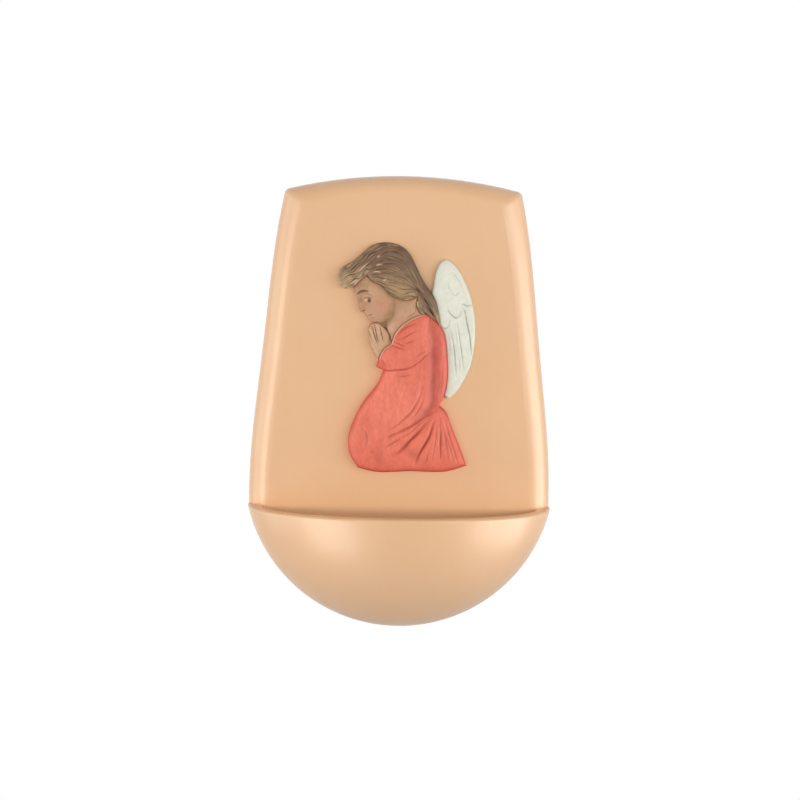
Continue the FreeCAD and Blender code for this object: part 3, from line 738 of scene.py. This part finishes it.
def hair_height(x, z, depth):
    """Cap of hair: a domed form with two families of strands cut into it, and every fourth
    groove a wide one between locks. The masks flow and course give each point its place
    across and along the strands, for the paint. Painted shade lies along its edges, down its
    right side and at its lower edge by the neck, and painted light on the ridges and along
    the fringe's lower edge, less down the right side."""
    height = swell(depth, 3.0, 1.4, 3.2, 0.5)
    height += hump(x, z, (60, 835), (2.6, 2.2), 0.35) + hump(x, z, (480, 775), (5.0, 2.0), 0.55)
    deep = carving().strand_depth
    level = thousandths_up(x, z)
    crown_side, _, _ = near_line(x, z, CROWN_SIDE, 4.0)
    border = smooth((860 - level) / 50)
    # Painted shade along the edges, down the right side and at the lower edge by the neck
    wash = strongest(
        0.30 * (1 - smooth(depth / 0.4)) * (1 - 0.8 * border),
        0.60 * (1 - smooth(crown_side / 2.2)),
        hump(x, z, (595, 700), (2.2, 1.8), 0.75),
    )
    paths = [*strands(FRINGE_GUIDES, 9), *strands(LOCK_GUIDES, 25)]
    nearest = np.full(len(x), 3.0)
    pull = np.full(len(x), 1e-9)
    flow = np.zeros(len(x))
    course = np.zeros(len(x))
    for order, path in enumerate(paths):
        distance, _, along = measure(x, z, path, 1.6)
        weight = 0.72 + 0.48 * math.sin(order * GOLDEN_ANGLE)
        broken = 0.62 + 0.38 * np.sin(2 * np.pi * (2.7 * along + 0.37 * order))
        fade = smooth((along + 0.02) / 0.10) * (1 - 0.5 * smooth((along - 0.85) / 0.15))
        groove = weight * broken * fade * np.exp(-(distance / GROOVE_WIDTH)**2)
        if order % 4 == 1:
            height -= 0.8 * deep * fade * np.exp(-(distance / LOCK_GROOVE_WIDTH)**2)
        height -= deep * groove
        wash = strongest(wash, groove**1.3)
        nearest = np.minimum(nearest, distance)
        near = np.exp(-(distance / 0.45)**2)
        pull += near
        flow += near * order / len(paths)
        course += near * along
    ridge = smooth((nearest - 0.20) / 0.30)
    tone = smooth((925 - level) / 140) - 1.1 * hump(x, z, (650, 800), (3.2, 6.5), 1.0)
    tone = strongest(tone, hump(x, z, (90, 840), (6.5, 4.0), 1.0))
    # Painted highlights, laid by the trim mask
    glint = strongest(*(cut(x, z, stroke, 0.8, 0.20) for stroke in GLINT_STROKES))
    # Painted light on the ridges and along the fringe's lower edge, weaker down the right side
    lit = strongest(ridge * (0.34 + 0.66 * np.clip(tone, 0, 1)), cut(x, z, FRINGE_EDGE, 1.3, 0.55))
    lit *= 0.25 + 0.75 * smooth(crown_side / 2.6)
    return height, {"wash": wash, "lit": lit, "tone": tone, "trim": glint, "flow": flow / pull,
                    "course": course / pull}


def face_height(x, z, depth):
    """Head in three-quarter profile with a calm, plain face, and the neck below it. Painted
    shade lies at its edges, under the hair and along the jaw, and painted light on its forms.
    """
    jaw, nostril, mouth, brow, brow_front, lash, lid, neck_fold = (cut(x, z, *row) for row in FACE_CUTS)
    level = thousandths_up(x, z)
    brow = strongest(brow, brow_front)
    lip = hump(x, z, (243, 674), (0.55, 0.32), 1.0)
    iris = hump(x, z, (224.5, 749.5), (0.80, 0.98), 1.0) * smooth((765.5 - level) / 6)
    white = hump(x, z, (200, 751), (0.80, 0.58), 1.0)
    corner = hump(x, z, (251, 756), (0.40, 0.34), 1.0)
    height = swell(depth, 2.7, 1.0, 2.4, 0.4) + sum(humps(x, z, FACE_FORMS))
    height = height - jaw - nostril - mouth - lid - neck_fold + 0.12 * brow + 0.10 * lip
    under_hair = smooth((level - 740) / 30)
    # Painted shade at the edges, under the hair, along the jaw and on the face; wash in the cuts
    wash = strongest(
        0.40 * (1 - smooth(depth / 0.45)) * (1 - 0.75 * under_hair),
        0.42 * (1 - smooth(depth / 2.4)) * under_hair,
        0.9 * (jaw / 0.50)**1.5, cut(x, z, JAW_SHADE, 0.90, 1.5), *humps(x, z, FACE_SHADES),
        4.5 * lid, 2.6 * neck_fold, 0.55 * lash, 0.45 * lip,
    )
    dark = strongest(
        smooth((brow - 0.35) / 0.35), smooth((iris - 0.42) / 0.30), 0.60 * smooth((lash - 0.35) / 0.4),
        0.80 * smooth((nostril - 0.06) / 0.08), 0.80 * smooth((mouth - 0.12) / 0.10),
    )
    pale = strongest(0.42 * smooth((white - 0.35) / 0.4), 0.35 * smooth((corner - 0.4) / 0.4))
    blush = strongest(0.6 * smooth((mouth - 0.02) / 0.12), *humps(x, z, FACE_BLUSH))
    lit = sum(humps(x, z, FACE_LIGHTS))
    return height, {"wash": wash, "lit": lit, "dark": dark, "trim": pale * (1 - dark), "blush": blush}


def hands_height(x, z, depth):
    """Two hands laid together, with the fingers parted by cuts, a deep cut behind them with
    painted shadow in it, painted shade along their edges and painted light on them.
    """
    wash = 0.45 * (1 - smooth(depth / 0.4))
    height, wash = apply_cuts(x, z, swell(depth, 3.1, 0.9, 1.4, 0.0), wash, FINGER_CUTS, 1, 1, 0)
    return height, {"wash": wash, "lit": hump(x, z, (270, 590), (2.8, 6.0), 1.1)}


def wing_height(x, z, depth):
    """Folded wing: smooth shoulder, three overlapping feather edges and long feathers, with
    painted shade along its edges and painted light over its raised middle.
    """
    height = swell(depth, 2.0, 0.9, 2.0, 0.4) + hump(x, z, (820, 760), (4.5, 8.0), 0.35)
    wash = 0.35 * (1 - smooth(depth / 0.35))
    for row in WING_STEPS:
        amount, line_wash = step_down(x, z, *row)
        height -= amount
        wash = strongest(wash, 0.75 * line_wash)
    height, wash = apply_cuts(x, z, height, wash, WING_CUTS, 1.5, 0.25, 1.4)
    return height, {"wash": wash, "lit": smooth(depth / 3.0)}


def feed(tree, node, inputs):
    """Link or set a node's inputs, which are named by socket or counted from 0."""
    for key, value in inputs.items():
        if isinstance(value, bpy.types.NodeSocket):
            tree.links.new(value, node.inputs[key])
        else:
            node.inputs[key].default_value = value


def add_node(tree, kind, inputs=None, **settings):
    """Add a shader node and set its options, then its inputs."""
    node = tree.nodes.new(kind)
    for key, value in settings.items():
        setattr(node, key, value)
    feed(tree, node, inputs or {})
    return node


def mix(tree, factor, first, second):
    """Mix two colours and give back the result socket."""
    return add_node(tree, "ShaderNodeMix", {0: factor, 6: first, 7: second}, data_type="RGBA").outputs[2]


def math_node(tree, operation, *values, clamp=False):
    inputs = dict(enumerate(values))
    return add_node(tree, "ShaderNodeMath", inputs, operation=operation, use_clamp=clamp).outputs[0]


def multiply(tree, first, second, clamp=False):
    return math_node(tree, "MULTIPLY", first, second, clamp=clamp)


def value_range(tree, value, low, high, to_low, to_high):
    return add_node(tree, "ShaderNodeMapRange", {
        "Value": value, "From Min": low, "From Max": high, "To Min": to_low, "To Max": to_high,
    }).outputs[0]


def new_group(name, inputs, outputs):
    """Empty shader node group with named sockets of some kind, and its two end nodes."""
    group = bpy.data.node_groups.new(name, "ShaderNodeTree")
    for in_out, sockets in (("INPUT", inputs), ("OUTPUT", outputs)):
        for socket, kind in sockets.items():
            group.interface.new_socket(socket, in_out=in_out, socket_type="NodeSocket" + kind)
    return group, group.nodes.new("NodeGroupInput").outputs, group.nodes.new("NodeGroupOutput")


def shared(collection, maker):
    """What the maker builds, made on first use and named after the maker."""
    return collection.get(maker.__name__) or maker()


def coat_clouds():
    """Soft clouds and fine grain of a hand-laid coat: two noises of unlike size."""
    group, start, end = new_group(
        "coat_clouds", {"Vector": "Vector", "Cloud Size": "Float", "Grain Size": "Float"},
        {"Clouds": "Float", "Grain": "Float"})
    cloud = add_node(group, "ShaderNodeTexNoise", {
        "Vector": start["Vector"], "Scale": start["Cloud Size"], "Detail": 3.0, "Roughness": 0.55,
    })
    grain = add_node(group, "ShaderNodeTexNoise", {
        "Vector": start["Vector"], "Scale": start["Grain Size"], "Detail": 2.0,
    })
    feed(group, end, {
        "Clouds": value_range(group, cloud.outputs[0], 0.3, 0.7, 0.0, 1.0), "Grain": grain.outputs[0],
    })
    return group


def antique_wash():
    """Antique paint: base colour, lighter where painted light lies, darker where the wash and
    painted shade lie, and mottled all over by a thin film of the wash."""
    group, start, end = new_group("antique_wash", {
        "Paint": "Color", "Worn": "Color", "Wash": "Color", "Worn Amount": "Float",
        "Wash Amount": "Float", "Clouds": "Float", "Grain": "Float", "Mottle": "Float",
    }, {"Color": "Color"})
    cloud = start["Clouds"]
    thinned = value_range(group, cloud, 0.0, 1.0, 1.0, 0.45)
    painted_light = multiply(group, start["Worn Amount"], thinned, clamp=True)
    settled = value_range(group, cloud, 0.0, 1.0, 0.75, 1.0)
    recess = multiply(group, start["Wash Amount"], settled, clamp=True)
    speckle = value_range(group, start["Grain"], 0.35, 0.65, 0.0, 0.7)
    film = multiply(group, math_node(group, "MULTIPLY_ADD", cloud, 0.7, speckle), start["Mottle"])
    painted = mix(group, painted_light, start["Paint"], start["Worn"])
    painted = mix(group, film, painted, start["Wash"])
    feed(group, end, {"Color": mix(group, recess, painted, start["Wash"])})
    return group


def new_material(name):
    material = bpy.data.materials.new(name)
    material.use_nodes = True
    tree = material.node_tree
    return material, tree, tree.nodes["Principled BSDF"]


def clouds(tree, cloud_size, grain_size, scale=(1, 1, 1)):
    """Clouds and grain over the object, stretched where the scale is below 1."""
    place = add_node(tree, "ShaderNodeTexCoord").outputs["Object"]
    mapping = add_node(tree, "ShaderNodeMapping", {"Vector": place, "Scale": scale})
    node = add_node(tree, "ShaderNodeGroup", {
        "Vector": mapping.outputs[0], "Cloud Size": cloud_size, "Grain Size": grain_size,
    }, node_tree=shared(bpy.data.node_groups, coat_clouds))
    return node.outputs["Clouds"], node.outputs["Grain"]


def attribute(tree, name):
    return add_node(tree, "ShaderNodeAttribute", attribute_name=name).outputs["Fac"]


def add_bump(tree, shader, height, distance):
    bump = add_node(tree, "ShaderNodeBump", {"Height": height, "Distance": distance, "Strength": 1.0})
    feed(tree, shader, {"Normal": bump.outputs[0]})


def plain_material(name, sizes, scale, share, first, second, relief):
    """Material with clouds of a second colour, up to a share, and a fine bumpy grain."""
    material, tree, shader = new_material(name)
    cloud, grain = clouds(tree, *sizes, scale)
    colour = mix(tree, multiply(tree, cloud, share), first, second)
    feed(tree, shader, {"Base Color": colour})
    add_bump(tree, shader, grain, relief)
    return material, tree, shader, cloud, grain, colour


def lacquer_coat():
    """Satin peach lacquer over stained, close-grained wood."""
    deep = finish().lacquer_deep
    material, tree, shader, cloud, _, colour = plain_material(
        "lacquer_coat", (45.0, 1400.0), (1, 1, 1), 0.45, finish().lacquer, deep, 0.00001)
    rings, _ = clouds(tree, 420.0, 900.0, (1, 1, 0.06))
    feed(tree, shader, {
        "Base Color": mix(tree, multiply(tree, rings, 0.10), colour, deep),
        "Roughness": value_range(tree, cloud, 0, 1, 0.42, 0.50),
        "Coat Weight": 0.5, "Coat Roughness": 0.22,
    })
    return material


def dowel_wood():
    """Bare turned dowel, with grain along the dowel."""
    colours = finish()
    material, tree, shader, *_ = plain_material(
        "dowel_wood", (900.0, 2500.0), (1, 0.08, 1), 0.5, colours.bare_wood, colours.lacquer_deep, 0.00003)
    feed(tree, shader, {"Roughness": 0.7})
    return material


def moulded_liner():
    """Moulded plastic with a faint cloudiness."""
    colours = finish()
    material, tree, shader, cloud, *_ = plain_material(
        "moulded_liner", (120.0, 1800.0), (1, 1, 1), 0.12, colours.liner, colours.mark_pale, 0.000004)
    feed(tree, shader, {"Roughness": value_range(tree, cloud, 0, 1, 0.22, 0.32)})
    return material


def plated_steel():
    """Rolled, zinc-plated steel with fine lines along the plate."""
    material, tree, shader, _, lines, _ = plain_material(
        "plated_steel", (300.0, 2600.0), (1, 1, 0.03), 0.35, finish().steel, srgb(140, 141, 140), 0.000008)
    feed(tree, shader, {"Metallic": 1.0, "Roughness": value_range(tree, lines, 0.3, 0.7, 0.28, 0.46)})
    return material


def strand_streaks(tree):
    """Fine streaks that run with the hair, from its place across and along the strands."""
    across = multiply(tree, attribute(tree, "flow"), 46.0)
    along = multiply(tree, attribute(tree, "course"), 5.0)
    vector = add_node(tree, "ShaderNodeCombineXYZ", {"X": across, "Y": along}).outputs[0]
    noise = add_node(tree, "ShaderNodeTexNoise", {"Vector": vector, "Scale": 1.0, "Detail": 2.0})
    return value_range(tree, noise.outputs[0], 0.36, 0.62, 0.0, 1.0)


def tempera(paint):
    """Matt paint on carved wood, in the colours named after it. The wash and lit masks of
    the piece drive the antique wash with its painted shade, and the painted light, and the
    paint's own masks lay further colours on it. Hair also has fine streaks of painted light
    and shade, and an olive tone in its lower locks."""
    name = paint + "_tempera"
    if name in bpy.data.materials:
        return bpy.data.materials[name]
    colours = finish()
    masks, mottle, scale = PAINTS[paint]
    base, painted_light, wash = (getattr(colours, paint + ending) for ending in ("", "_light", "_wash"))
    material, tree, shader = new_material(name)
    cloud, grain = clouds(tree, 480.0, 1500.0, scale)
    lit = attribute(tree, "lit")
    recess = attribute(tree, "wash")
    # Hair: streaks along the strands break up its painted light and painted shade
    if paint == "hair":
        streak = strand_streaks(tree)
        lit = multiply(tree, lit, value_range(tree, streak, 0, 1, 0.10, 1.30))
        recess = math_node(tree, "MAXIMUM", recess, value_range(tree, streak, 0, 0.6, 0.55, 0.0))
        base = mix(tree, attribute(tree, "tone"), base, colours.hair_olive)
    colour = add_node(tree, "ShaderNodeGroup", {
        "Paint": base, "Worn": painted_light, "Wash": wash, "Worn Amount": lit, "Wash Amount": recess,
        "Clouds": cloud, "Grain": grain, "Mottle": mottle,
    }, node_tree=shared(bpy.data.node_groups, antique_wash)).outputs["Color"]
    for mask, over, strength in masks:
        amount = multiply(tree, attribute(tree, mask), strength)
        colour = mix(tree, amount, colour, getattr(colours, over))
    feed(tree, shader, {"Base Color": colour, "Roughness": value_range(tree, cloud, 0, 1, 0.55, 0.69)})
    add_bump(tree, shader, math_node(tree, "ADD", grain, multiply(tree, cloud, 2.0)), 0.00002)
    return material


# Carved pieces: CAD node, paint, own outline and its neighbours', shape and grid step
CARVED = {
    "carved_robe": ("robe", "robe", (ROBE_OUTLINE, SLEEVE_OUTLINE), robe_height, "broad_step"),
    "carved_sleeve": ("sleeve", "robe", (SLEEVE_OUTLINE,), sleeve_height, "broad_step"),
    "carved_hair": (
        "hair", "hair", (HAIR_OUTLINE, ROBE_OUTLINE, SLEEVE_OUTLINE), hair_height, "fine_step"),
    "carved_face": (
        "face_and_neck", "skin", (FACE_OUTLINE, HAIR_OUTLINE, ROBE_OUTLINE, SLEEVE_OUTLINE, HANDS_OUTLINE),
        face_height, "fine_step"),
    "carved_hands": (
        "hands", "skin", (HANDS_OUTLINE, ROBE_OUTLINE, SLEEVE_OUTLINE), hands_height, "fine_step"),
    "carved_wing": ("wing", "wing", (WING_OUTLINE, ROBE_OUTLINE, HAIR_OUTLINE), wing_height, "broad_step"),
}


def build_piece(name):
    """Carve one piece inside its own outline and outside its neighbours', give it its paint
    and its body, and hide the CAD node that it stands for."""
    node, paint, outlines, height_of, step = CARVED[name]
    piece = carved_mesh(name, *region(*outlines), height_of, getattr(carving(), step))
    piece.data.materials.append(tempera(paint))
    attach(piece, "font")
    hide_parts(node)


def dress_nodes(nodes, maker):
    """Give solid models' own objects a material in every slot."""
    material = shared(bpy.data.materials, maker)
    for node in nodes:
        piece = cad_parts[node]
        if not piece.material_slots:
            piece.data.materials.append(material)
        for slot in piece.material_slots:
            slot.material = material


class FONT_OT_body(bpy.types.Operator):
    """Lacquer the board and the bowl, and leave their dowels and pins bare"""

    bl_idname = "font.body"
    bl_label = "Board and Bowl"

    def execute(self, context):
        dress_nodes(("back_board", "bowl"), lacquer_coat)
        dress_nodes(("bowl_dowels", "relief_pins"), dowel_wood)
        return {"FINISHED"}


class FONT_OT_liner(bpy.types.Operator):
    """Finish the water liner"""

    bl_idname = "font.liner"
    bl_label = "Water Liner"

    def execute(self, context):
        dress_nodes(("water_liner",), moulded_liner)
        return {"FINISHED"}


class FONT_OT_hanger(bpy.types.Operator):
    """Finish the hanger plate and its screws"""

    bl_idname = "font.hanger"
    bl_label = "Hanger"

    def execute(self, context):
        dress_nodes(("hanger_plate", "hanger_screws"), plated_steel)
        return {"FINISHED"}


class FONT_OT_robe(bpy.types.Operator):
    """Carve and paint the robe and its sleeve"""

    bl_idname = "font.robe"
    bl_label = "Robe and Sleeve"

    def execute(self, context):
        build_piece("carved_robe")
        build_piece("carved_sleeve")
        return {"FINISHED"}


class FONT_OT_hair(bpy.types.Operator):
    """Carve and paint the hair"""

    bl_idname = "font.hair"
    bl_label = "Hair"

    def execute(self, context):
        build_piece("carved_hair")
        return {"FINISHED"}


class FONT_OT_skin(bpy.types.Operator):
    """Carve and paint the face with the neck, and the hands"""

    bl_idname = "font.skin"
    bl_label = "Face and Hands"

    def execute(self, context):
        build_piece("carved_face")
        build_piece("carved_hands")
        return {"FINISHED"}


class FONT_OT_wing(bpy.types.Operator):
    """Carve and paint the wing"""

    bl_idname = "font.wing"
    bl_label = "Wing"

    def execute(self, context):
        build_piece("carved_wing")
        return {"FINISHED"}


def add_softbox(name, azimuth, elevation, distance, width, height, power):
    """Upright area lamp aimed at the middle of the font, from a number of degrees to the
    right of straight in front and a number of degrees up."""
    turned = Euler((-math.radians(elevation), 0, math.radians(azimuth))).to_matrix()
    location = turned @ Vector((0, -distance, 0))
    lamp = bpy.data.lights.new(name, "AREA")
    lamp.shape = "RECTANGLE"
    lamp.size = width
    lamp.size_y = height
    lamp.energy = power
    holder = new_object(name, lamp)
    holder.location = location
    holder.rotation_euler = (-location).to_track_quat("-Z", "Y").to_euler()
    return holder


def seen_directly(tree):
    """1 for rays from the camera, reflected or refracted, and 0 for the light on a surface."""
    rays = add_node(tree, "ShaderNodeLightPath")
    seen = math_node(tree, "MAXIMUM", rays.outputs["Is Camera Ray"], rays.outputs["Is Glossy Ray"])
    return math_node(tree, "MAXIMUM", seen, rays.outputs["Is Transmission Ray"])


def floor_disc(radius, height, rings=12, spokes=96):
    """Flat disc: radius times the ring's share, turned round by the spoke's angle."""
    ring = np.linspace(0.02, 1, rings)
    spoke = np.linspace(0, 2 * np.pi, spokes, endpoint=False)
    share, angle = np.meshgrid(ring, spoke, indexing="ij")
    x = radius * share * np.cos(angle)
    y = radius * share * np.sin(angle)
    vertices = np.stack([x, y, np.full_like(x, height)], axis=2).reshape(-1, 3)
    index = np.arange(rings * spokes).reshape(rings, spokes)
    turned = np.roll(index, -1, axis=1)
    faces = np.stack([index[:-1], index[1:], turned[1:], turned[:-1]], axis=2).reshape(-1, 4)
    return new_mesh("studio_floor", vertices, faces, {})


def floor_paper():
    """Pale paper that looks bright itself but throws little light up at the font."""
    material, tree, shader = new_material("floor_paper")
    cloud, _ = clouds(tree, 3.0, 40.0)
    colour = mix(tree, cloud, (0.86, 0.86, 0.85, 1), (0.90, 0.90, 0.89, 1))
    seen = seen_directly(tree)
    feed(tree, shader, {
        "Base Color": mix(tree, seen, (0.25, 0.25, 0.25, 1), colour),
        "Emission Color": mix(tree, seen, (0, 0, 0, 1), (0.36, 0.36, 0.36, 1)),
        "Emission Strength": 1.0, "Roughness": 0.9,
    })
    return material


def studio_air(sizes):
    """White surroundings that light the font from all around, most from straight left and
    right and least from below."""
    world = bpy.data.worlds.new("studio_air")
    world.use_nodes = True
    tree = world.node_tree
    tree.nodes.clear()
    way = add_node(tree, "ShaderNodeNewGeometry").outputs["Incoming"]
    way = add_node(tree, "ShaderNodeSeparateXYZ", {"Vector": way})
    side = math_node(tree, "POWER", math_node(tree, "ABSOLUTE", way.outputs["X"]), 5.0)
    level = math_node(tree, "MULTIPLY_ADD", side, sizes.side_strength, sizes.sky_strength)
    fall = value_range(tree, way.outputs["Z"], -1, 1, 1, sizes.low_share)
    level = multiply(tree, level, fall)
    strength = value_range(tree, seen_directly(tree), 0, 1, level, 1.0)
    glow = add_node(tree, "ShaderNodeBackground", {"Color": (1, 1, 1, 1), "Strength": strength})
    add_node(tree, "ShaderNodeOutputWorld", {"Surface": glow.outputs[0]})
    return world


def front_camera(sizes):
    """Camera on the left of straight in front, looking a little down at the font."""
    camera = bpy.data.cameras.new("front_camera")
    camera.lens = sizes.lens
    camera.sensor_width = 36
    camera.clip_start = 0.05
    holder = new_object("front_camera", camera)
    direction = Euler((-sizes.rise, 0, -sizes.turn)).to_matrix() @ Vector((0, -1, 0))
    holder.location = Vector((sizes.aim_right, 0, sizes.aim_up)) + direction * sizes.distance
    look = (-direction).to_track_quat("-Z", "Y")
    holder.rotation_euler = (look @ Euler((0, 0, sizes.roll)).to_quaternion()).to_euler()
    return holder


class FONT_OT_studio(bpy.types.Operator):
    """Set up the pale floor, the white surroundings, the six softboxes and the camera"""

    bl_idname = "font.studio"
    bl_label = "Studio"

    def execute(self, context):
        sizes = studio()
        floor = floor_disc(1.4, sizes.floor_height)
        floor.data.materials.append(floor_paper())
        context.scene.world = studio_air(sizes)
        # The front one isn't reflected, and the left and right ones are only reflected
        for name, place in SOFTBOXES.items():
            lamp = add_softbox(name + "_softbox", *place, getattr(sizes, name + "_power"))
            lamp.visible_glossy = name != "front"
            lamp.visible_diffuse = name not in ("left", "right")
        context.scene.camera = front_camera(sizes)
        context.scene.view_settings.view_transform = "Standard"
        return {"FINISHED"}


PIECE_OPERATORS = (
    FONT_OT_body, FONT_OT_liner, FONT_OT_hanger, FONT_OT_robe, FONT_OT_hair, FONT_OT_skin,
    FONT_OT_wing, FONT_OT_studio,
)
SETTINGS = {
    "font_carving": FontCarvingSettings,
    "font_finish": FontFinishSettings,
    "font_studio": FontStudioSettings,
}


class FONT_PT_panel(bpy.types.Panel):
    """Lists the steps that build the font"""

    bl_idname = "FONT_PT_panel"
    bl_label = "Holy Water Font"
    bl_space_type = "VIEW_3D"
    bl_region_type = "UI"
    bl_category = "Font"

    def draw(self, context):
        for operator in PIECE_OPERATORS:
            self.layout.operator(operator.bl_idname)
        for name, group in SETTINGS.items():
            box = self.layout.box()
            for key in group.__annotations__:
                box.prop(getattr(context.scene, name), key)


CLASSES = (*SETTINGS.values(), *PIECE_OPERATORS, FONT_PT_panel)


def register():
    for kind in CLASSES:
        bpy.utils.register_class(kind)
    for name, group in SETTINGS.items():
        setattr(bpy.types.Scene, name, bpy.props.PointerProperty(type=group))


def unregister():
    for name in SETTINGS:
        delattr(bpy.types.Scene, name)
    for kind in reversed(CLASSES):
        bpy.utils.unregister_class(kind)


def main():
    """Register the add-on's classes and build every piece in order."""
    register()
    bpy.ops.font.body()
    bpy.ops.font.liner()
    bpy.ops.font.hanger()
    bpy.ops.font.robe()
    bpy.ops.font.hair()
    bpy.ops.font.skin()
    bpy.ops.font.wing()
    bpy.ops.font.studio()


if __name__ == "__main__":
    main()
